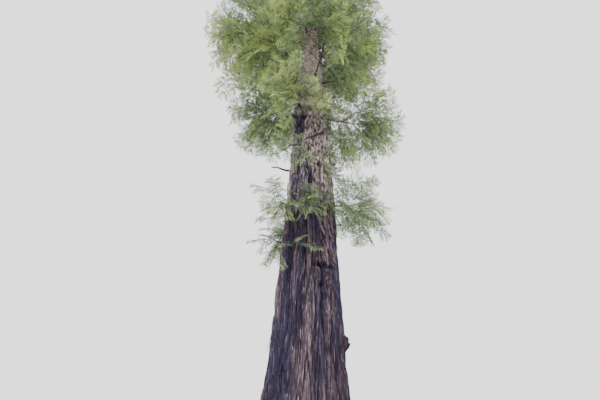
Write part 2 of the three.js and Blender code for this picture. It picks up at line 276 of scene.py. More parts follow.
# Crown, as its solids
BOUGHS = 24
CROWN_FOOT = 13.3
CROWN_HEAD = 37.3
CROWN_REACH = 4.85
CROWN_TAPER = 0.75
CROWN_FULLNESS, CROWN_SWELL = 0.82, 0.9
REACH_SPREAD = (0.85, 1.1)
FIRST_BEARING = 20
GOLDEN_ANGLE = 137.508
LOWEST_RISE, HIGHEST_RISE = 8, 46
LOWEST_SAG, HIGHEST_SAG = 0.24, 0.06
BOUGH_CURL = 0.14
BOUGH_BEND = 0.3
HEIGHT_JITTER = 0.5
BEARING_JITTER = 24
RISE_JITTER = 10
LIMB_TAPER = 0.86
GIRTH_SHARE = 0.0155
THINNEST_LIMB = 0.008
LIMB_SHARE = 0.2
LIMB_STEPS, LIMB_SIDES = 14, 12
LIMB_ROUGHNESS = 0.12
LEADER_BEARING, LEADER_RISE = 250, 86

# The size of the lumps on a limb, in its radii, and how upright a stretch of it has to be for its sides
# to be set square to X and not to Z.
LUMP_SIZE = 0.8
NEARLY_UPRIGHT = 0.9

# Where limbs and shoots start, as shares of the trunk's radius, and how a limb swells where it leaves the
# bark: by how much, over what length, and at most.
LIMB_ROOT, SHOOT_ROOT = 0.6, 0.8
LIMB_COLLAR = 0.9
COLLAR_LENGTH = 0.12
WIDEST_COLLAR = 2

# Small limbs: bearing, height, reach, rise, girth, sag, curl.
SMALL_LIMBS = {
    "low_limb": (4, 7.7, 2.25, 8, 0.038, 0.1, 0.08),
    "lesser_front": (246, 12.5, 2.45, 14, 0.03, 0.18, 0.05),
}

# Shoots on the bare trunk under the crown: bearing, height, reach, and how many sets of twigs they bear.
SHOOTS = {
    "shoot_low_left": (226, 5.55, 0.85, 1),
    "shoot_skirt_left": (232, 7.15, 1.05, 2),
    "shoot_skirt_front": (268, 7.0, 0.95, 1),
    "shoot_skirt_right": (308, 7.2, 1.1, 1),
    "shoot_middle": (258, 9.3, 1.0, 1),
    "shoot_upper": (290, 12.0, 1.15, 1),
    "shoot_back_low": (128, 7.3, 1.15, 2),
    "shoot_back_high": (74, 10.6, 1.25, 2),
}
SHOOT_RISE, SHOOT_GIRTH, SHOOT_SAG = 14, 0.03, 0.22

# Foliage, as its solids
TWIGS = 5
FIRST_TWIG = 0.45
TWIGS_END = 0.84
TWIG_SPAN = 0.34
TWIG_SPREAD = (0.8, 1.1)
TWIG_FULLNESS = (0.3, 0.85)
TWIG_GIRTH = 0.35
THINNEST_TWIG = 0.004
TWIG_TAPER = 0.6
FIRST_SPLAY, LAST_SPLAY = 64, 40
SPLAY_JITTER = 12
ROLL_JITTER = 40
MASS_FLATNESS = 0.75
FROND_SPAN = 0.46
FROND_SIZES = (0.85, 1.15)
FROND_DROOP = 0.35
FROND_ROLL = 110
LEADER_TWIGS = 6
SHOOT_TWIGS = 3
STEM_END = 0.68
FROND_OUTLINE = ([0, 0.36, 0.5, 0.78, 1], [0.05, 0.34, 0.26, 0.28, 0.04])
FROND_PLACES = [(0.94, 0), (0.6, 56), (0.34, -56)]

# Finer growth than the solids have. Each set of twigs has an offset that turns it, and a shift along its
# limb.
TWIG_SETS = [(0, 0.0), (20, 0.33), (30, -0.33)]
THINNEST_STEM = 0.006
STEM_STEPS, STEM_SIDES = 8, 5
FROND_STEPS = 5
FROND_STEM_GROWTH = 0.005
FROND_STEM_TIP = 0.003
FROND_SAG = 0.16
LEAST_FROND = 0.15

# Twiglets: their angle to the frond's axis and how it varies, how far apart pairs are as a share of a
# spray, the fewest pairs, where the first sits as a share of a pair, where on the axis they may sit, how
# far they stray along it, out of the frond's plane and downwards, and how their length varies.
TWIGLET_ANGLE = math.radians(52)
LEAN_SPREAD = (0.8, 1.15)
TWIGLET_GAP = 0.43
LEAST_PAIRS = 3
FIRST_TWIGLET = 0.4
TWIGLET_PLACES = (0.04, 0.98)
PLACE_JITTER = 0.2
PLANE_JITTER = 0.25
TWIGLET_DROOP = 0.3
TWIGLET_SPREAD = (0.7, 1.12)
TWIGLET_RADIUS = 0.004

# A direction that twiglets aren't likely to take, square to which their sides are set.
UNLIKELY_WAY = [0.31, 0.17, 0.93]

# How far a spray at a twiglet's tip reaches past it, and the shortest twiglet, as shares of a spray.
TIP_OVERHANG = 0.55
LEAST_TWIGLET = 0.15

# Sprays of needles: their length in the crown and on shoots, how that varies, how far apart they sit on a
# twiglet, how far they turn aside and stray, how much they hang, and how far they tilt.
SPRAY_LENGTH = 0.26
SHOOT_SPRAY_LENGTH = 0.16
SPRAY_SPREAD = (0.75, 1.2)
SPRAY_GAP = 0.6
SPRAY_TURN = 0.75
TURN_JITTER = 0.2
SPRAY_HANG = 0.12
TILT_JITTER = 0.4

# One spray, as shares of its length: the half width and droop of its axis, how many pairs of needles it has
# and where the first and last have their roots, and the needles' length, width, sweep to the tip and droop.
AXIS_HALF_WIDTH = 0.012
AXIS_DROOP = 0.1
NEEDLE_PAIRS = 3
NEEDLE_ROOTS = (0.04, 0.74)
NEEDLE_LENGTH = 0.33
NEEDLE_WIDTH = 0.2
NEEDLE_SWEEP = 0.5
NEEDLE_DROOP = 0.25

# The needles of a spray follow this stretch of an arch in their length, filled out by this power.
ARCH_START, ARCH_SPAN = 0.3, 0.6
ARCH_FULLNESS = 0.7

# Lesser boughs fill in between the others. This is their size at the crown's foot and tip, against the
# others', the place that has none so that the trunk shows, and the height from which they are as full.
LESSER_SIZES = (0.6, 1.0)
OPEN_FRONT = 4
UPPER_CROWN = 23.0

# A gap in the crown's front that leaves the trunk open to view from below: how steeply it falls away from
# the trunk, its foot and head on the trunk, its half width, and the share of sprays that still hang in it.
GAP_SLOPE = 1.8
GAP_FOOT, GAP_HEAD = 17.0, 21.4
GAP_WIDTH = 0.62
GAP_SHARE = 0.12

# Foliage keeps this many trunk radii from the trunk's axis, and this much more at the crown's foot. It may
# reach this far past the solids' box.
TRUNK_CLEARANCE = 1.02
INNER_GAP = 0.4
BOX_MARGIN = 0.06

# The most faces in one piece of needles.
PIECE_FACES = 190000

# Light, by which the sprays are dealt out among the greens: how much it differs from mass to mass and from
# frond to frond, which way its sunny side faces and how much that counts, how much is left at a twiglet's
# root, and how shaded the shoots and small limbs are. The small limbs catch more than the crown does.
SUN_SPREAD = 0.85
FROND_SPREAD = 0.9
SHOOT_SPREAD = 0.4
SUNNY_BEARING = 232
SUNNY_SHARE = 0.25
INNER_LIGHT = 0.6
SHOOT_SHADE = 0.8
SMALL_LIMB_SHADE = -0.2

# What a spray's place among the greens depends on: light, and chance.
LIGHT_SHARE, CHANCE_SHARE = 0.6, 0.7

# Greens from the most shaded to the sunniest, each from dark to light, and the shares of the sprays at
# which one gives way to the next.
NEEDLE_TONES = {
    "needles_deep": ((65, 86, 57), (108, 129, 87)),
    "needles_grey": ((108, 120, 104), (152, 161, 140)),
    "needles_green": ((117, 139, 81), (159, 179, 114)),
    "needles_bright": ((146, 163, 87), (196, 208, 134)),
}
TONE_SHARES = [0.27, 0.5, 0.78]

# The bark's noises: how fine each is up the trunk against round it, its scale and its detail.
BARK_NOISES = {
    "fibres": (0.1, 30.0, 5.0),
    "strands": (0.11, 11.0, 3.0),
    "flakes": (0.34, 12.0, 4.0),
    "ticks": (0.17, 19.0, 2.0),
    "knobs": (0.7, 13.0, 3.0),
    "patches": (0.4, 1.6, 3.0),
    "splits": (0.09, 17.0, 3.0),
}
CRACK_WIDTH = 0.045
BARK_BUMP, WOOD_BUMP = 0.03, 0.008

# Between these heights plates give way to flakes, and flakes to paler ones: partly the bark's own paleness,
# partly painted light that offsets the shade inside the crown.
FLAKY, PALER_AND_LIT = (6.6, 8.6), (11.5, 17.0)

# Tones of the bark and wood, as the eye reads them, from dark to light where there are two.
PLATES = ((58, 48, 62), (112, 94, 99))
FLAKES = ((98, 87, 86), (218, 203, 192))
# The palest flakes, high up: partly the bark's own tone, partly painted light against the crown's shade.
PALE_AND_LIT_FLAKES = (232, 211, 196)
BROWN_PATCHES = (104, 78, 80)
SPARED_BARK = (144, 125, 132)
PALE_FIBRES = (152, 132, 136)
DARK_TICKS, PALE_TICKS = (50, 42, 57), (188, 164, 160)
WARTS = ((50, 38, 50), (124, 98, 102))
# The crack and furrow tones are painted shade in the bark's recesses.
CRACK_SHADE = (46, 38, 54)
FURROW_SHADE = (40, 33, 48)
SOOT = ((54, 48, 68), (98, 87, 109))
ASHEN_TICKS = (154, 130, 132)
# Painted shade in the char's furrows.
SOOTY_FURROW_SHADE = (32, 30, 46)
LIMB_BARK = ((46, 38, 40), (100, 86, 82))
DEAD_WOOD = ((38, 33, 40), (104, 92, 92))

# Stage: its tones, the floor's half width, the eye's place, how far it looks up in degrees, and its lens
# and sensor in millimetres.
FLOOR_TONE, SKY_TONE = (226, 226, 222), (248, 249, 252)
FLOOR_REACH = 150.0
EYE = (-0.07, -9.6, 1.07)
LOOKS_UP = 36
LENS, SENSOR = 18.0, 36.0
FAR_CLIP = 500.0
SKY_STRENGTH, SUN_STRENGTH = 2.2, 2.0
SUN_SOFTNESS = math.radians(35)
SUN_TILT, SUN_BEARING = math.radians(52), math.radians(-35)

# Stirring numbers for scatter and for the noise's lattice, and what brings the noise to about 1.
SCATTER_INDEX, SCATTER_TRAIT, SCATTER_GAIN = 12.9898, 78.233, 43758.5453
STIR_CELLS = (73856093, 19349663, 83492791)
STIR_SEED, STIR_AGAIN = 2654435761, 2246822519
ALL_BITS = 0xFFFFFFFF
NOISE_GAIN = 1.4

UP = np.array([0.0, 0.0, 1.0])


# Small sums

def scatter(index, trait):
    """A number from 0 to 1 that looks random and depends only on the two indices."""
    wave = math.sin(index * SCATTER_INDEX + trait * SCATTER_TRAIT) * SCATTER_GAIN
    return wave - math.floor(wave)


def mix(a, b, share):
    return a + (b - a) * share


def turn_between(a, b):
    return (a - b + 180) % 360 - 180


def horizontal(bearing):
    angle = np.radians(bearing)
    return np.stack([np.cos(angle), np.sin(angle), np.zeros_like(angle)], axis=-1)


def unit(vectors):
    return vectors / np.linalg.norm(vectors, axis=-1, keepdims=True)


def soft_step(low, high, values):
    share = np.clip((values - low) / (high - low), 0, 1)
    return share * share * (3 - 2 * share)


def turned(vector, axis, angle):
    """A vector turned about a unit axis by an angle in radians."""
    along = axis * np.dot(vector, axis)
    return along + (vector - along) * math.cos(angle) + np.cross(axis, vector) * math.sin(angle)


# Noise

def lattice_slopes(cells, seed):
    """A slope for each cell corner, from its whole-number coordinates."""
    x, y, z = (cells * STIR_CELLS).T
    mixed = x ^ y ^ z ^ seed * STIR_SEED
    slopes = []
    for _ in range(3):
        mixed = (mixed ^ (mixed >> 15)) * STIR_AGAIN & ALL_BITS
        slopes.append(mixed / (ALL_BITS // 2) - 1)
    return np.stack(slopes, axis=1)


def noise(points, seed):
    """Smooth noise from about -1 to 1 at each point."""
    cells = np.floor(points).astype(np.int64)
    local = points - cells
    fade = local ** 3 * (local * (local * 6 - 15) + 10)
    total = np.zeros(len(points))
    for corner in itertools.product((0, 1), repeat=3):
        weight = np.prod(np.where(corner, fade, 1 - fade), axis=1)
        slope = lattice_slopes(cells + np.array(corner), seed)
        total += weight * np.sum(slope * (local - corner), axis=1)
    return total * NOISE_GAIN


# Trunk

def trunk_axis(height):
    height = np.asarray(height, dtype=float)
    lean = LEAN_OFFSET * (1 - np.exp(-height / LEAN_REACH))
    return np.stack([lean, np.zeros_like(height), height], axis=-1)


def plain_radius(height):
    return BREAST_RADIUS * (TREE_HEIGHT - height) / (TREE_HEIGHT - BREAST_HEIGHT)


def scar_depth(scar, bearing, height):
    facing, spread, foot, head, depth = scar
    opening = np.sqrt(np.clip((head - height) / (head - foot), 1e-6, 1))
    across = turn_between(bearing, facing) / (spread * opening)
    started = 1 / (1 + np.exp(np.clip((foot - height) / SCAR_BLEND, -50, 50)))
    return depth * np.minimum(1, 2 * opening) * started * np.exp(-np.minimum(across ** 4, 50))


def rib_stand(bearing, height):
    wave = np.sin(np.radians(bearing) * RIB_WAVES + height / RIB_RISE)
    strength = RIB_MEAN + RIB_VARIATION * wave
    return RIB_STAND * strength * np.cos(np.radians(bearing) * RIBS) * plain_radius(height) / BREAST_RADIUS


def trunk_radius(bearing, height):
    """The solid's radius towards a bearing, with its root flare, buttresses, ribs and fire hollows."""
    plain = plain_radius(height)
    flare = FLARE_RADIUS * np.exp(-height / FLARE_HEIGHT)
    radius = plain + flare + rib_stand(bearing, height)
    for facing, spread, swell, fade in BUTTRESSES:
        crest = np.exp(-(turn_between(bearing, facing) / spread) ** 2)
        strength = swell * (BUTTRESS_ALOFT + (1 - BUTTRESS_ALOFT) * np.exp(-height / fade))
        radius = radius + crest * (plain * strength + flare * FLARE_LOBES)
    for scar in SCARS:
        radius = radius - scar_depth(scar, bearing, height)
    return radius


def off_centre(bearing, height, facing, middle, half_width, half_height):
    """How far a place on the bark lies from a middle, where 1 is on the edge of an oval round it."""
    arc = np.radians(turn_between(bearing, facing)) * plain_radius(height)
    return np.hypot(arc / half_width, (height - middle) / half_height)


def burl_bump(bearing, height, points):
    """How far the burls stand out at each place."""
    bump = np.zeros_like(height)
    knobs = 1 - 2 * np.abs(noise(points / KNOB_SIZE, 5)) + WART_SHARE * noise(points / WART_SIZE, 6)
    for facing, middle, across, proud in BURLS:
        edge = off_centre(bearing, height, facing, middle, across, across * BURL_STRETCH)
        dome = np.sqrt(np.clip(1 - edge ** 2, 0, 1))
        bump += dome * (proud * BURL_FILL + KNOB_STAND * knobs)
    return bump


def pit_depth(bearing, height):
    depth = np.zeros_like(height)
    for facing, middle, half_width, half_height, deep in PITS:
        edge = off_centre(bearing, height, facing, middle, half_width, half_height)
        depth += deep * np.exp(-edge ** 4)
    return depth


def bark_thickness(radius):
    return np.clip(radius / FULL_BARK_RADIUS, THINNEST_BARK, 1)


def furrow_relief(points, radius):
    """How deep the bark is furrowed, in metres, and as a share from 0 on a plate to 1 in a furrow, which the
    finish darkens as painted shade.
    """
    wander = WANDER * np.stack([noise(points / WANDER_SIZE, seed) for seed in (1, 2)], axis=1)
    bent = points.copy()
    bent[:, :2] += wander
    bent[:, 2] += np.maximum(points[:, 2] - FLAKES_FROM, 0) * (FLAKES_SHORTER - 1)
    depth = np.zeros(len(points))
    share = np.zeros(len(points))
    thickness = bark_thickness(radius)
    for net in FURROW_NETS:
        value = noise(bent / (net["apart"], net["apart"], net["long"]), net["seed"])
        furrow = np.exp(-(value / net["wide"]) ** 2)
        depth += furrow * net["deep"] * thickness
        share = np.maximum(share, furrow * (net["deep"] / DEEPEST) ** FINE_FURROW_FADE)
    return depth, np.clip(share, 0, 1)


def patch(bearing, height, ragged, spot, fringe):
    """How far each place lies inside an upright patch of bark with ragged edges, from 0 to 1."""
    facing, spread, foot, head = spot
    across = np.abs(turn_between(bearing, facing)) / spread
    ends = np.maximum(foot - height, height - head) / fringe
    inside = 1 - soft_step(*SIDE_FADE, across + RAGGED_SIDES * ragged)
    return inside * (1 - soft_step(-END_FADE, END_FADE, ends + RAGGED_ENDS * ragged))


def burned_and_spared(bearing, height, points):
    """How charred each place is, and how far it lies in a paler strip that was spared."""
    ragged = noise(points / RAGGED_FINE, 71) + BROAD_SHARE * noise(points / RAGGED_BROAD, 72)
    burned = np.zeros_like(height)
    for *spot, strength in BURNS:
        burned = np.maximum(burned, strength * patch(bearing, height, ragged, spot, BURN_FRINGE))
    spared = np.zeros_like(height)
    for spot in SPARED:
        spared = np.maximum(spared, patch(bearing, height, ragged, spot, SPARED_FRINGE))
    return burned * (1 - SPARED_SHARE * spared), spared


def bark_at(bearing, height):
    """Points on the bark at bearings and heights, with the marks that its finish reads."""
    outward = horizontal(bearing)
    solid = trunk_radius(bearing, height)
    plain = outward * solid[:, None] + UP * height[:, None]
    depth, furrow = furrow_relief(plain, solid)
    char, spared = burned_and_spared(bearing, height, plain)
    pit = pit_depth(bearing, height)
    bump = burl_bump(bearing, height, plain)
    stand = PLATE_STAND * bark_thickness(solid)
    radius = solid + stand - depth + bump - pit - CHAR_LOSS * char
    # The furrow mark, from furrows and pits, darkens the bark's colour as painted shade.
    marks = {
        "furrow": np.clip(furrow + pit * PIT_SHADE, 0, 1),
        "char": np.clip(char + pit * PIT_CHAR, 0, 1),
        "spared": spared,
        "burl": np.clip(bump * BURL_WARTS, 0, 1),
    }
    return trunk_axis(height) + outward * radius[:, None], marks


def trunk_sheet(foot, head, rows):
    """The bark between two heights as a closed ring of faces, with its marks."""
    turns = np.arange(TRUNK_COLUMNS) * 360 / TRUNK_COLUMNS
    bearing, height = np.meshgrid(turns, np.linspace(foot, head, rows + 1))
    points, marks = bark_at(bearing.ravel(), height.ravel())
    return points, ring_faces(rows, TRUNK_COLUMNS), marks


def strip_lots(rng):
    """Bearing, height, length, width, stand-off and paleness of every loose strip, lot by lot."""
    lots = []
    for count, facing, spread, foot, head, long, wide, off, palest in LOOSE_BARK:
        bearing = facing + spread * rng.uniform(-1, 1, count)
        height = rng.uniform(foot, head, count)
        length = long * rng.uniform(*LENGTH_SPREAD, count)
        width = wide * rng.uniform(*WIDTH_SPREAD, count)
        lift = off * rng.uniform(*LIFT_SPREAD, count) ** 2
        lots.append((bearing, height, length, width, lift, palest * rng.random(count)))
    return map(np.concatenate, zip(*lots))


def strip_points(bearing, height, length, width, lift, twist, proud):
    """Four corners at each level of each strip, from its upper end down."""
    rows = []
    for share, part in STRIP_OUTLINE:
        low = height - length * share
        turn = bearing + twist * share
        outward = horizontal(turn)
        across = horizontal(turn + 90)
        off = trunk_radius(turn, low) + proud + lift * share ** LIFT_POWER
        middle = trunk_axis(low) + outward * off[:, None]
        half = across * (width * part / 2)[:, None]
        outer = half * OUTER_FACE
        inner = middle - outward * STRIP_THICKNESS * (1 - STRIP_THINNING * share)
        rows.append(np.stack([middle + outer, inner + half, inner - half, middle - outer], axis=1))
    return np.stack(rows, axis=1).reshape(-1, 3)


def loose_strips():
    """Strips of bark that hang from their upper ends, each four-sided and drawn out to a point."""
    rng = np.random.default_rng(STRIP_SEED)
    bearing, height, length, width, lift, pale = strip_lots(rng)
    length = np.minimum(length, height - ABOVE_GROUND)
    twist = rng.uniform(-STRIP_TWIST, STRIP_TWIST, len(bearing))
    top, bark = bark_at(bearing, height)
    proud = np.linalg.norm((top - trunk_axis(height))[:, :2], axis=1) - trunk_radius(bearing, height)
    points = strip_points(bearing, height, length, width, lift, twist, proud)
    per_strip = len(STRIP_OUTLINE) * 4
    marks = {
        "char": np.repeat(bark["char"] * np.clip(1 - PALE_CHAR * pale, 0, 1), per_strip),
        "furrow": np.zeros(len(points)),
        "burl": np.repeat(bark["burl"], per_strip),
        "spared": np.repeat(pale, per_strip),
    }
    faces = ring_faces(len(STRIP_OUTLINE) - 1, 4)
    return points, faces_of_copies(faces, len(bearing), per_strip), marks


def faces_of_copies(faces, copies, corners):
    """The faces of one shape for many copies of it, each with corners of its own."""
    offsets = np.arange(copies)[:, None, None] * corners
    return (faces[None] + offsets).reshape(-1, faces.shape[1])


def ring_faces(rows, columns):
    """Four-sided faces of a grid that closes on itself across its columns."""
    row, column = np.meshgrid(np.arange(rows), np.arange(columns), indexing="ij")
    beside = (column + 1) % columns
    corners = [row * columns + column, row * columns + beside]
    corners += [(row + 1) * columns + beside, (row + 1) * columns + column]
    return np.stack(corners, axis=-1).reshape(-1, 4)


# Limbs

class Limb:
    """A limb's course: it heads off along its rise, sags under its weight and curls up at its tip."""

    def __init__(self, start, bearing, reach, rise, girth, sag=0.0, curl=0.0, bend=0.0):
        self.start = start
        self.across = horizontal(np.float64(bearing + 90))
        level = horizontal(np.float64(bearing))
        self.heading = level * math.cos(math.radians(rise)) + UP * math.sin(math.radians(rise))
        self.reach, self.girth = reach, girth
        self.sag, self.curl, self.bend = sag, curl, bend

    def at(self, share):
        t = np.asarray(share, dtype=float)[..., None]
        lift = self.reach * (self.curl * t ** 4 - self.sag * t * t)
        swing = self.across * self.reach * self.bend * t * t
        return self.start + self.heading * self.reach * t + UP * lift + swing

    def along(self, share):
        return unit(self.at(share + 0.01) - self.at(share - 0.01))

    def radius(self, share):
        return self.girth * (1 - LIMB_TAPER * share)


def bough_course(index, size=1.0):
    share = index / (BOUGHS - 1)
    jitter = HEIGHT_JITTER * (scatter(index, 1) - 0.5) * (1 - share)
    height = mix(CROWN_FOOT, CROWN_HEAD, share) + jitter
    aloft = (height - CROWN_FOOT) / (TREE_HEIGHT - CROWN_FOOT)
    outline = (1 - aloft) ** CROWN_TAPER * (CROWN_FULLNESS + CROWN_SWELL * aloft)
    reach = CROWN_REACH * outline * mix(*REACH_SPREAD, scatter(index, 2)) * size
    return Limb(
        start=trunk_axis(height),
        bearing=FIRST_BEARING + GOLDEN_ANGLE * index + BEARING_JITTER * (scatter(index, 3) - 0.5),
        reach=reach,
        rise=mix(LOWEST_RISE, HIGHEST_RISE, aloft) + RISE_JITTER * (scatter(index, 4) - 0.5),
        girth=GIRTH_SHARE * reach + THINNEST_LIMB,
        sag=mix(LOWEST_SAG, HIGHEST_SAG, aloft),
        curl=BOUGH_CURL,
        bend=BOUGH_BEND * (scatter(index, 5) - 0.5),
    )


def small_limb(name):
    bearing, height, *shape = SMALL_LIMBS[name]
    return Limb(trunk_axis(height), bearing, *shape)


def all_courses():
    """Every limb by name, in the order that seeds their growth."""
    courses = {f"bough_{index + 1}": bough_course(index) for index in range(BOUGHS)}
    courses["low_limb"] = small_limb("low_limb")
    length = (TREE_HEIGHT - TRUNK_TIP) / math.sin(math.radians(LEADER_RISE))
    girth = plain_radius(TRUNK_TIP)
    courses["leader"] = Limb(trunk_axis(TRUNK_TIP), LEADER_BEARING, length, LEADER_RISE, girth)
    for name, (bearing, height, reach, _) in SHOOTS.items():
        whole = plain_radius(height) + reach
        courses[name] = Limb(trunk_axis(height), bearing, whole, SHOOT_RISE, SHOOT_GIRTH, sag=SHOOT_SAG)
    for index in range(BOUGHS - 1):
        if index != OPEN_FRONT:
            size = mix(*LESSER_SIZES, index / BOUGHS)
            courses[f"lesser_{index + 1}"] = bough_course(index + 0.5, size)
    courses["lesser_front"] = small_limb("lesser_front")
    return courses


def share_in_trunk(limb, part):
    return part * plain_radius(limb.start[2]) / limb.reach


def limb_end(limb):
    return mix(share_in_trunk(limb, 1), 1, LIMB_SHARE)


def tube(spine, radii, sides, rough=0.0, seed=0):
    """A tapering tube along a row of points, as points and four-sided faces."""
    ahead = unit(np.gradient(spine, axis=0))
    upright = np.abs(ahead[:, 2:]) > NEARLY_UPRIGHT
    across = unit(np.cross(ahead, np.where(upright, [[1.0, 0, 0]], [[0, 0, 1.0]])))
    over = np.cross(across, ahead)
    turn = np.arange(sides) * 2 * math.pi / sides
    ring = across[:, None] * np.cos(turn)[None, :, None] + over[:, None] * np.sin(turn)[None, :, None]
    points = (spine[:, None] + ring * radii[:, None, None]).reshape(-1, 3)
    if rough:
        bump = noise(points / (radii.max() * LUMP_SIZE), seed)
        points += ring.reshape(-1, 3) * (bump * rough * np.repeat(radii, sides))[:, None]
    return points, ring_faces(len(spine) - 1, sides)


# Foliage

class Growth:
    """Stems, twiglets and sprays, gathered while the crown is grown, and the light where it grows now."""

    def __init__(self):
        self.stems = []
        self.twiglets = []
        self.sprays = []
        self.sunlit = 0.0
        self.spread = FROND_SPREAD


def twigs_of(order, limb, start, count, offset, shift):
    """The twigs of a mass by the solids' rule. An offset and a shift give a finer set between them."""
    twigs = []
    for twig in range(count):
        seed = order * 50 + offset + twig
        share = (twig + FIRST_TWIG + shift) / count
        t = mix(start, TWIGS_END, share)
        ahead = limb.along(t)
        roll = math.radians(GOLDEN_ANGLE * (twig + offset / 3) + ROLL_JITTER * (scatter(seed, 6) - 0.5))
        over = np.cross(ahead, limb.across)
        out = unit(limb.across * math.cos(roll) + over * math.sin(roll) * MASS_FLATNESS)
        strayed = SPLAY_JITTER * (scatter(seed, 7) - 0.5)
        splay = math.radians(mix(FIRST_SPLAY, LAST_SPLAY, share) + strayed)
        heading = ahead * math.cos(splay) + out * math.sin(splay)
        fullness = math.sin(math.pi * mix(*TWIG_FULLNESS, share))
        length = limb.reach * TWIG_SPAN * fullness * mix(*TWIG_SPREAD, scatter(seed, 8))
        twigs.append((seed, limb.at(t), heading, length, limb.radius(t) * TWIG_GIRTH + THINNEST_TWIG))
    return twigs


def share_inside(root, offset):
    """How much of an offset from a root stays inside the solids' box."""
    room = np.where(offset > 0, CAD_HIGH - root, CAD_LOW - root)
    shares = room / np.where(np.abs(offset) < 1e-9, 1e-9, offset)
    return float(np.clip(shares[np.abs(offset) > 1e-6].min(), 0, 1))


def frond_axis(root, heading, length, shares):
    shares = np.asarray(shares)[:, None]
    return root + heading * length * shares - UP * length * FROND_SAG * shares ** 2


def twiglet_headings(rng, heading, width, face, side, lean):
    """Which way each twiglet points: it leans out from the axis, strays from the plane and droops."""
    ahead = heading * np.cos(lean) + width * side * np.sin(lean)
    stray = face * rng.uniform(-PLANE_JITTER, PLANE_JITTER, len(lean))[:, None]
    droop = UP * rng.uniform(0, TWIGLET_DROOP, len(lean))[:, None]
    return unit(ahead + stray - droop)


def add_frond_stem(growth, root, heading, length):
    spine = frond_axis(root, heading, length, np.linspace(0, 1, FROND_STEPS))
    radii = np.linspace(THINNEST_STEM + FROND_STEM_GROWTH * length, FROND_STEM_TIP, FROND_STEPS)
    growth.stems.append((spine, radii))


def grow_frond(growth, root, heading, length, roll, seed, spray):
    """One frond: an axis that sags, and on either side of it twiglets that reach to its outline."""
    length = length * share_inside(root, heading * length)
    if length < LEAST_FROND:
        return
    add_frond_stem(growth, root, heading, length)
    rng = np.random.default_rng(seed)
    width = turned(unit(np.cross(heading, UP)), heading, roll)
    face = np.cross(width, heading)
    pairs = max(LEAST_PAIRS, round(length / (TWIGLET_GAP * spray)))
    count = 2 * pairs
    stray = rng.uniform(-PLACE_JITTER, PLACE_JITTER, count)
    share = np.clip((np.arange(count) / 2 + FIRST_TWIGLET + stray) / pairs, *TWIGLET_PLACES)
    side = np.where(np.arange(count) % 2, 1.0, -1.0)[:, None]
    lean = TWIGLET_ANGLE * rng.uniform(*LEAN_SPREAD, count)[:, None]
    ahead = twiglet_headings(rng, heading, width, face, side, lean)
    half = length * np.interp(share, *FROND_OUTLINE) * rng.uniform(*TWIGLET_SPREAD, count)
    reach = np.maximum(half / np.sin(lean[:, 0]) - TIP_OVERHANG * spray, LEAST_TWIGLET * spray)
    foot = frond_axis(root, heading, length, share)
    growth.twiglets.append((foot, foot + ahead * reach[:, None]))
    dress_twiglets(growth, rng, foot, ahead, reach, face, share, spray)


def dress_twiglets(growth, rng, foot, ahead, reach, face, share, spray):
    """Sprays of needles along each twiglet, turn about to its sides, and one at its tip."""
    step = SPRAY_GAP * spray
    sunlit = growth.sunlit + growth.spread * (rng.random() - 0.5)
    for place in range(int(reach.max() / step) + 1):
        rows = np.flatnonzero((reach > place * step) | (place == 0))
        back = reach[rows] - place * step
        flip = np.where((rows + place) % 2, SPRAY_TURN, -SPRAY_TURN)[:, None] * (place > 0)
        beside = unit(np.cross(ahead[rows], face + 0.001))
        stray = rng.uniform(-TURN_JITTER, TURN_JITTER, (len(rows), 3))
        turn = unit(ahead[rows] + beside * flip + stray - UP * SPRAY_HANG)
        tilt = unit(face + rng.uniform(-TILT_JITTER, TILT_JITTER, (len(rows), 3)))
        lengths = spray * rng.uniform(*SPRAY_SPREAD, len(rows))
        spots = foot[rows] + ahead[rows] * np.maximum(back, 0)[:, None]
        # How much light the spray gets, more towards its twiglet's tip and on the sunny side. It picks the
        # spray's green as painted light and shade.
        outward = share[rows] * mix(INNER_LIGHT, 1, back / np.maximum(reach[rows], 0.01)) + sunlit
        growth.sprays.append((spots, turn, tilt, lengths, outward, rng.random(len(rows))))


def grow_mass(growth, order, limb, start, count, spray, sets=TWIG_SETS, shade=0.0):
    """A mass of foliage: a stem, twigs all round it, and fronds on each twig and at the stem's tip."""
    size = limb.reach * FROND_SPAN
    sunny = np.dot(unit(limb.heading * (1, 1, 0)), horizontal(np.float64(SUNNY_BEARING)))
    growth.sunlit = SUN_SPREAD * (scatter(order, 15) - 0.5) + SUNNY_SHARE * sunny - shade
    steps = np.linspace(start, 1, STEM_STEPS)
    growth.stems.append((limb.at(steps), np.maximum(limb.radius(steps), THINNEST_STEM)))
    root = limb.at(STEM_END)
    ahead = limb.at(1.0) - root
    grow_frond(growth, root, unit(ahead), np.linalg.norm(ahead), 0, order * 1000 + 999, spray)
    for offset, shift in sets:
        for seed, foot, heading, length, girth in twigs_of(order, limb, start, count, offset, shift):
            length *= share_inside(foot, heading * length)
            tip = foot + heading * length
            radii = np.linspace(girth, girth * (1 - TWIG_TAPER), 3)
            growth.stems.append((np.linspace(foot, tip, 3), radii))
            for place, (along, sway) in enumerate(FROND_PLACES):
                roll = math.radians(FROND_ROLL) * (scatter(seed, 9 + place) - 0.5)
                turn = turned(heading, UP, math.radians(sway)) - UP * FROND_DROOP
                reach = size * mix(*FROND_SIZES, scatter(seed, 12 + place))
                spot = foot + heading * length * along
                grow_frond(growth, spot, unit(turn), reach, roll, seed * 10 + place, spray)


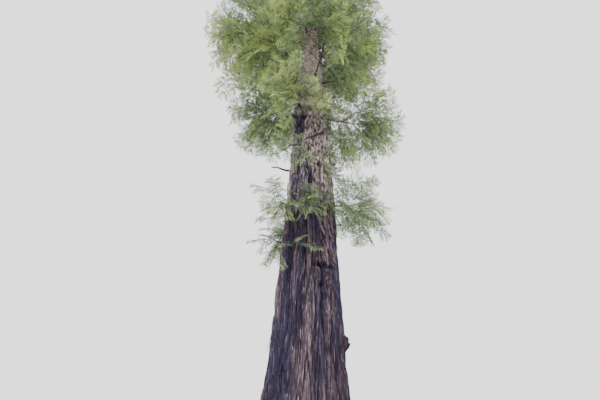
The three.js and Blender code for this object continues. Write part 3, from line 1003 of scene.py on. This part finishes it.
def grow_crown(courses):
    growth = Growth()
    for order, (name, limb) in enumerate(courses.items()):
        growth.spread = SHOOT_SPREAD if name.startswith("shoot") else FROND_SPREAD
        if name.startswith("shoot"):
            sets = TWIG_SETS[:SHOOTS[name][-1]]
            start = share_in_trunk(limb, SHOOT_ROOT)
            grow_mass(growth, order, limb, start, SHOOT_TWIGS, SHOOT_SPRAY_LENGTH, sets, SHOOT_SHADE)
        elif name == "leader":
            grow_mass(growth, order, limb, 0, LEADER_TWIGS, SHOOT_SPRAY_LENGTH)
        elif name in SMALL_LIMBS:
            sets = TWIG_SETS[:2]
            grow_mass(growth, order, limb, limb_end(limb), TWIGS, SHOOT_SPRAY_LENGTH, sets, SMALL_LIMB_SHADE)
        else:
            lower = name.startswith("lesser") and limb.start[2] < UPPER_CROWN
            sets = TWIG_SETS[:1] if lower else TWIG_SETS
            grow_mass(growth, order, limb, limb_end(limb), TWIGS, SPRAY_LENGTH, sets)
    return growth


def spray_shape():
    """One spray, a unit long: an axis and a comb of narrow needles on each side, all three-sided faces."""
    root = np.linspace(*NEEDLE_ROOTS, NEEDLE_PAIRS)
    middle = root + NEEDLE_WIDTH / 2
    out = NEEDLE_LENGTH * np.sin(math.pi * (ARCH_START + ARCH_SPAN * middle)) ** ARCH_FULLNESS
    droop = -AXIS_DROOP * middle ** 2
    level = np.zeros_like(root)
    points = [np.array([[0, AXIS_HALF_WIDTH, 0], [0, -AXIS_HALF_WIDTH, 0], [1, 0, -AXIS_DROOP]])]
    points.append(np.stack([root, level, droop], axis=1))
    points.append(np.stack([root + NEEDLE_WIDTH, level, droop], axis=1))
    for side in (1, -1):
        tips = [middle + NEEDLE_SWEEP * out, side * out, droop - NEEDLE_DROOP * out]
        points.append(np.stack(tips, axis=1))
    near = 3 + np.arange(NEEDLE_PAIRS)
    left = np.stack([near, near + NEEDLE_PAIRS, near + 2 * NEEDLE_PAIRS], axis=1)
    right = np.stack([near + NEEDLE_PAIRS, near, near + 3 * NEEDLE_PAIRS], axis=1)
    return np.concatenate(points), np.concatenate([[[0, 1, 2]], left, right])


def keep_in_reach(spots, ends):
    """Which sprays or twiglets stay within a margin of the solids' box and clear of the trunk."""
    inside = np.all((ends > CAD_LOW - BOX_MARGIN) & (ends < CAD_HIGH + BOX_MARGIN), axis=1)
    middle = (spots + ends) / 2
    height = middle[:, 2]
    from_axis = np.linalg.norm((middle - trunk_axis(height))[:, :2], axis=1)
    crown_left = np.clip((TREE_HEIGHT - height) / (TREE_HEIGHT - CROWN_FOOT), 0, 1)
    gap = np.where(height > CROWN_FOOT, INNER_GAP * crown_left, 0)
    return inside & (from_axis > plain_radius(np.clip(height, 0, TRUNK_TIP)) * TRUNK_CLEARANCE + gap)


def in_front_gap(middle):
    """Which places lie in the gap in the crown's front."""
    out = -middle[:, 1]
    seen = middle[:, 2] + GAP_SLOPE * out
    beside = np.abs(middle[:, 0] - LEAN_OFFSET)
    return (out > 0) & (seen > GAP_FOOT) & (seen < GAP_HEAD) & (beside < GAP_WIDTH)


def spray_mesh(spots, turn, tilt, lengths):
    """Points and faces of many sprays at once."""
    shape, faces = spray_shape()
    across = unit(np.cross(tilt, turn))
    over = np.cross(turn, across)
    scaled = shape[None] * lengths[:, None, None]
    points = spots[:, None] + turn[:, None] * scaled[:, :, :1]
    points = points + across[:, None] * scaled[:, :, 1:2] + over[:, None] * scaled[:, :, 2:]
    return points.reshape(-1, 3), faces_of_copies(faces, len(spots), len(shape))


def twiglet_mesh(feet, tips):
    """Three-sided twiglets, each tapering to its tip."""
    ahead = unit(tips - feet)
    across = unit(np.cross(ahead, UNLIKELY_WAY))
    over = np.cross(ahead, across)
    corners = []
    for turn in (0, 2 * math.pi / 3, 4 * math.pi / 3):
        corners.append(feet + (across * math.cos(turn) + over * math.sin(turn)) * TWIGLET_RADIUS)
    points = np.stack([*corners, tips], axis=1)
    faces = np.array([[0, 1, 3], [1, 2, 3], [2, 0, 3]])
    return points.reshape(-1, 3), faces_of_copies(faces, len(feet), 4)


# Finishes

def linear(red, green, blue):
    """A colour as the eye reads it, from 0 to 255, as the plain light values that a shader takes."""
    parts = [channel / 255 for channel in (red, green, blue)]
    return (*[c / 12.92 if c <= 0.04045 else ((c + 0.055) / 1.055) ** 2.4 for c in parts], 1.0)


class Wire:
    """An output of a finish's nodes. Arithmetic on it adds Math nodes."""

    def __init__(self, finish, socket):
        self.finish = finish
        self.socket = socket

    def __add__(self, other):
        return self.finish.maths("ADD", self, other)

    def __radd__(self, other):
        return self.finish.maths("ADD", other, self)

    def __sub__(self, other):
        return self.finish.maths("SUBTRACT", self, other)

    def __rsub__(self, other):
        return self.finish.maths("SUBTRACT", other, self)

    def __mul__(self, other):
        return self.finish.maths("MULTIPLY", self, other)

    def __rmul__(self, other):
        return self.finish.maths("MULTIPLY", other, self)

    def __abs__(self):
        return self.finish.maths("ABSOLUTE", self, 0.0)


class Finish:
    """One procedural material."""

    def __init__(self, name, roughness, specular):
        self.material = bpy.data.materials.new(name)
        self.material.use_nodes = True
        self.tree = self.material.node_tree
        self.shader = self.tree.nodes["Principled BSDF"]
        self.shader.inputs["Roughness"].default_value = roughness
        self.shader.inputs["Specular IOR Level"].default_value = specular

    def feed(self, socket, value):
        if isinstance(value, Wire):
            self.tree.links.new(value.socket, socket)
        else:
            socket.default_value = value

    def node(self, kind, settings=None, sockets=None, output=0):
        """Adds a node: its settings first, then its sockets' values or wires."""
        node = self.tree.nodes.new(kind)
        for name, value in (settings or {}).items():
            setattr(node, name, value)
        for name, value in (sockets or {}).items():
            self.feed(node.inputs[name], value)
        return Wire(self, node.outputs[output])

    def maths(self, operation, first, second):
        return self.node("ShaderNodeMath", {"operation": operation}, {0: first, 1: second})

    def blend(self, share, first, second):
        """One colour turning into another, each a wire or a tone as the eye reads it."""
        first, second = (part if isinstance(part, Wire) else linear(*part) for part in (first, second))
        return self.node("ShaderNodeMix", {"data_type": "RGBA"}, {0: share, 6: first, 7: second}, output=2)

    def band(self, value, low, high):
        """0 below the low end, 1 above the high one."""
        sockets = {"Value": value, "From Min": low, "From Max": high}
        return self.node("ShaderNodeMapRange", {"interpolation_type": "SMOOTHSTEP"}, sockets)

    def place(self, stretch=(1.0, 1.0, 1.0)):
        """Where a point is on the tree, in metres, scaled along each axis."""
        spot = self.node("ShaderNodeTexCoord", output="Object")
        return self.node("ShaderNodeVectorMath", {"operation": "MULTIPLY"}, {0: spot, 1: stretch})

    def cloud(self, stretch, scale, detail=4.0):
        """Soft noise from 0 to 1."""
        sockets = {"Vector": self.place(stretch), "Scale": scale, "Detail": detail}
        return self.node("ShaderNodeTexNoise", None, sockets)

    def mark(self, name):
        """A value that the mesh carries at its points."""
        return self.node("ShaderNodeAttribute", {"attribute_name": name}, output="Fac")

    def colour(self, wire):
        self.feed(self.shader.inputs["Base Color"], wire)

    def bump(self, height, depth):
        sockets = {"Height": height, "Distance": depth, "Strength": 1.0}
        self.feed(self.shader.inputs["Normal"], self.node("ShaderNodeBump", None, sockets))


def read_bark(finish):
    """What the bark's colours read: its noises, heights, and the marks that the mesh carries."""
    bark = SimpleNamespace()
    for name, (upright, scale, detail) in BARK_NOISES.items():
        setattr(bark, name, finish.cloud((1.0, 1.0, upright), scale, detail))
    for name in ("furrow", "spared", "char", "burl"):
        setattr(bark, name, finish.mark(name))
    height = finish.node("ShaderNodeSeparateXYZ", None, {0: finish.place()}, output="Z")
    bark.aloft = finish.band(height, *FLAKY)
    bark.paler = finish.band(height, *PALER_AND_LIT)
    bark.cracks = 1 - finish.band(abs(bark.splits - 0.5), 0.0, CRACK_WIDTH)
    return bark


# In each blend a band says from where to where a noise begins to show, and the share after it how strongly.

def plate_colour(finish, bark):
    """Plum-brown fibrous plates and pale flakes aloft, with spared strips and warts, and painted shade in
    cracks and furrows.
    """
    low = finish.blend(finish.band(bark.strands, 0.38, 0.62), *PLATES)
    high = finish.blend(finish.band(bark.flakes, 0.42, 0.55), *FLAKES)
    # High up the flakes turn paler, partly as painted light against the shade inside the crown.
    high = finish.blend(bark.paler * 0.85, high, PALE_AND_LIT_FLAKES)
    plates = finish.blend(bark.aloft, low, high)
    plates = finish.blend(finish.band(bark.patches, 0.5, 0.7) * 0.35, plates, BROWN_PATCHES)
    plates = finish.blend(bark.spared * 0.33, plates, SPARED_BARK)
    fibres = finish.band(bark.fibres, 0.46, 0.62) * (0.5 - bark.aloft * 0.25)
    plates = finish.blend(fibres, plates, PALE_FIBRES)
    plates = finish.blend(finish.band(bark.ticks, 0.6, 0.66) * 0.5, plates, PALE_TICKS)
    plates = finish.blend(finish.band(bark.ticks, 0.42, 0.36) * 0.6, plates, DARK_TICKS)
    warts = finish.blend(finish.band(bark.knobs, 0.46, 0.62), *WARTS)
    plates = finish.blend(bark.burl * 0.85, plates, warts)
    # Cracks and furrows are darkened as painted shade, less so aloft.
    plates = finish.blend(bark.cracks * (0.7 - bark.aloft * 0.3), plates, CRACK_SHADE)
    return finish.blend(bark.furrow * (0.9 - bark.aloft * 0.25), plates, FURROW_SHADE)


def soot_colour(finish, bark):
    """Char with ashen ticks, and painted shade that is darkest in its furrows and cracks."""
    soot = finish.blend(finish.band(bark.fibres, 0.45, 0.64), *SOOT)
    soot = finish.blend(finish.band(bark.ticks, 0.64, 0.7) * 0.5, soot, ASHEN_TICKS)
    # The char's furrows and cracks are darkened as painted shade.
    return finish.blend(bark.furrow * 0.75 + bark.cracks * 0.25, soot, SOOTY_FURROW_SHADE)


def redwood_bark():
    """The trunk's bark, with char where fire passed."""
    finish = Finish("redwood_bark", 0.92, 0.15)
    bark = read_bark(finish)
    finish.colour(finish.blend(bark.char, plate_colour(finish, bark), soot_colour(finish, bark)))
    finish.bump(bark.fibres * 0.7 + bark.strands * 0.5 + bark.ticks * 0.5 - bark.cracks * 0.4, BARK_BUMP)
    return finish.material


def limb_bark():
    finish = Finish("limb_bark", 0.9, 0.2)
    flecks = finish.cloud((1.0, 1.0, 1.0), 22.0, 5.0)
    finish.colour(finish.blend(finish.band(flecks, 0.35, 0.68), *LIMB_BARK))
    finish.bump(flecks, WOOD_BUMP)
    return finish.material


def dead_wood():
    """Charred and weathered wood, nearly black, with grey-brown streaks."""
    finish = Finish("dead_wood", 0.9, 0.2)
    streaks = finish.cloud((1.0, 1.0, 0.5), 26.0, 4.0)
    finish.colour(finish.blend(finish.band(streaks, 0.45, 0.75), *DEAD_WOOD))
    finish.bump(streaks, WOOD_BUMP)
    return finish.material


def needles(name, dark, light):
    """Needle green that varies from spray to spray."""
    finish = Finish(name, 0.62, 0.3)
    tone = finish.mark("tone")
    drift = finish.cloud((1.0, 1.0, 1.0), 1.1, 2.0)
    finish.colour(finish.blend(tone * 0.7 + drift * 0.4 - 0.05, dark, light))
    return finish.material


# Pieces

def put_in_scene(name, data):
    thing = bpy.data.objects.new(name, data)
    bpy.context.scene.collection.objects.link(thing)
    return thing


def add_piece(name, points, faces, material, replaced=(), marks=None, smooth=True):
    mesh = bpy.data.meshes.new(name)
    mesh.vertices.add(len(points))
    mesh.vertices.foreach_set("co", np.asarray(points, dtype=np.float32).ravel())
    mesh.loops.add(faces.size)
    mesh.loops.foreach_set("vertex_index", faces.astype(np.int32).ravel())
    mesh.polygons.add(len(faces))
    mesh.polygons.foreach_set("loop_start", np.arange(0, faces.size, faces.shape[1], dtype=np.int32))
    mesh.update(calc_edges=True)
    mesh.polygons.foreach_set("use_smooth", np.full(len(faces), smooth))
    for label, values in (marks or {}).items():
        layer = mesh.attributes.new(label, "FLOAT", "POINT")
        layer.data.foreach_set("value", np.asarray(values, dtype=np.float32))
    mesh.materials.append(material)
    piece = put_in_scene(name, mesh)
    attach(piece, "root")
    if replaced:
        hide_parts(*replaced)
    return piece


def joined(parts):
    """Many small meshes of one kind as one set of points and faces."""
    points, faces, offset = [], [], 0
    for some_points, some_faces in parts:
        points.append(some_points)
        faces.append(some_faces + offset)
        offset += len(some_points)
    return np.concatenate(points), np.concatenate(faces)


def build_trunk(bark):
    points, faces, marks = trunk_sheet(0, TRUNK_JOIN, LOWER_ROWS)
    trunk = add_piece("trunk_lower", points, faces, bark, ["trunk"], marks)
    close_foot(trunk)
    points, faces, marks = trunk_sheet(TRUNK_JOIN, TRUNK_TIP, UPPER_ROWS)
    add_piece("trunk_upper", points, faces, bark, ["trunk"], marks)
    points, faces, marks = loose_strips()
    add_piece("loose_bark", points, faces, bark, marks=marks, smooth=False)


def close_foot(trunk):
    """Closes the flat cut at ground level with one face."""
    grown = bmesh.new()
    grown.from_mesh(trunk.data)
    grown.verts.ensure_lookup_table()
    grown.faces.new([grown.verts[i] for i in reversed(range(TRUNK_COLUMNS))])
    grown.to_mesh(trunk.data)
    grown.free()


def build_limbs(courses, bark):
    parts = []
    names = [name for name in courses if name.startswith(("bough", "lesser", "low_limb"))]
    for number, name in enumerate(names):
        limb = courses[name]
        steps = np.linspace(share_in_trunk(limb, LIMB_ROOT), limb_end(limb), LIMB_STEPS)
        out = (steps - share_in_trunk(limb, 1)) * limb.reach
        swollen = 1 + LIMB_COLLAR * np.exp(-out / COLLAR_LENGTH)
        radii = limb.radius(steps) * np.clip(swollen, 1, WIDEST_COLLAR)
        parts.append(tube(limb.at(steps), radii, LIMB_SIDES, rough=LIMB_ROUGHNESS, seed=number))
    points, faces = joined(parts)
    replaced = [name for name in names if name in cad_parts]
    add_piece("boughs", points, faces, bark, replaced)


def build_dead_limbs(bark):
    parts = []
    for number, (foot, bearing, reach, rise, girth) in enumerate(DEAD_LIMBS):
        limb = Limb(np.array(foot), bearing, reach, rise, girth, bend=DEAD_BEND)
        steps = np.linspace(0, 1, DEAD_STEPS)
        radii = girth * (1 - DEAD_TAPER * steps + COLLAR * np.exp(-steps / COLLAR_SHARE))
        radii[-1] *= BROKEN_TIP
        spine = limb.at(steps)
        seeds = range(CROOK_SEED + 3 * number, CROOK_SEED + 3 * number + 3)
        crook = np.stack([noise(spine / CROOK_SIZE, seed) for seed in seeds], axis=1)
        spine += DEAD_CROOK * crook * steps[:, None]
        parts.append(tube(spine, radii, DEAD_SIDES, rough=DEAD_ROUGHNESS, seed=DEAD_SEED + number))
    points, faces = joined(parts)
    add_piece("dead_limbs", points, faces, bark)


def build_twigs(growth, bark, foliage_nodes):
    points, faces = joined([tube(spine, radii, STEM_SIDES) for spine, radii in growth.stems])
    add_piece("stems", points, faces, bark, foliage_nodes)
    feet, tips = (np.concatenate(ends) for ends in zip(*growth.twiglets))
    kept = keep_in_reach(feet, tips)
    points, faces = twiglet_mesh(feet[kept], tips[kept])
    add_piece("twiglets", points, faces, bark, smooth=False)


def dealt_sprays(growth):
    """The sprays that have room, and which green each gets: a brighter one towards the tips and the sun."""
    sprays = [np.concatenate(part) for part in zip(*growth.sprays)]
    spots, turn, _, lengths, _, chance = sprays
    kept = keep_in_reach(spots, spots + turn * lengths[:, None])
    kept &= ~in_front_gap(spots) | (chance < GAP_SHARE)
    *shapes, outward, chance = (part[kept] for part in sprays)
    rank = outward * LIGHT_SHARE + chance * CHANCE_SHARE
    return shapes, np.digitize(rank, np.quantile(rank, TONE_SHARES))


def build_needles(growth):
    sprays, tones = dealt_sprays(growth)
    per_piece = PIECE_FACES // (2 * NEEDLE_PAIRS + 1)
    for tone, (name, colours) in enumerate(NEEDLE_TONES.items()):
        finish = needles(name, *colours)
        members = np.flatnonzero(tones == tone)
        for number, start in enumerate(range(0, len(members), per_piece)):
            rows = members[start:start + per_piece]
            points, faces = spray_mesh(*(part[rows] for part in sprays))
            tint = np.random.default_rng(tone).random(len(rows))
            marks = {"tone": np.repeat(tint, len(points) // len(rows))}
            add_piece(f"{name}_{number + 1}", points, faces, finish, marks=marks, smooth=False)


# Stage

def build_stage():
    mesh = bpy.data.meshes.new("floor")
    corners = [(x * FLOOR_REACH, y * FLOOR_REACH, 0) for x, y in ((-1, -1), (1, -1), (1, 1), (-1, 1))]
    mesh.from_pydata(corners, [], [(0, 1, 2, 3)])
    finish = Finish("pale_floor", 0.9, 0.1)
    finish.shader.inputs["Base Color"].default_value = linear(*FLOOR_TONE)
    mesh.materials.append(finish.material)
    floor = put_in_scene("floor", mesh)
    floor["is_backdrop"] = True


def light_scene():
    world = bpy.data.worlds.new("pale_sky")
    world.use_nodes = True
    background = world.node_tree.nodes["Background"]
    background.inputs["Color"].default_value = linear(*SKY_TONE)
    background.inputs["Strength"].default_value = SKY_STRENGTH
    bpy.context.scene.world = world
    sun = bpy.data.lights.new("soft_sun", "SUN")
    sun.energy = SUN_STRENGTH
    sun.angle = SUN_SOFTNESS
    lamp = put_in_scene("soft_sun", sun)
    lamp.rotation_euler = Euler((SUN_TILT, 0, SUN_BEARING))


def place_camera():
    """At eye level in front of the trunk, tilted up as the photograph is."""
    camera = bpy.data.cameras.new("eye")
    camera.lens = LENS
    camera.sensor_width = SENSOR
    camera.clip_end = FAR_CLIP
    eye = put_in_scene("eye", camera)
    eye.location = Vector(EYE)
    eye.rotation_euler = Euler((math.radians(90 + LOOKS_UP), 0, 0))
    bpy.context.scene.camera = eye


def build_tree():
    courses = all_courses()
    foliage_nodes = [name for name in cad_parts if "foliage" in name or name.startswith("shoot")]
    growth = grow_crown(courses)
    limb_finish = limb_bark()
    build_trunk(redwood_bark())
    build_limbs(courses, limb_finish)
    build_dead_limbs(dead_wood())
    build_twigs(growth, limb_finish, foliage_nodes)
    build_needles(growth)


place_camera()
light_scene()
build_stage()
build_tree()
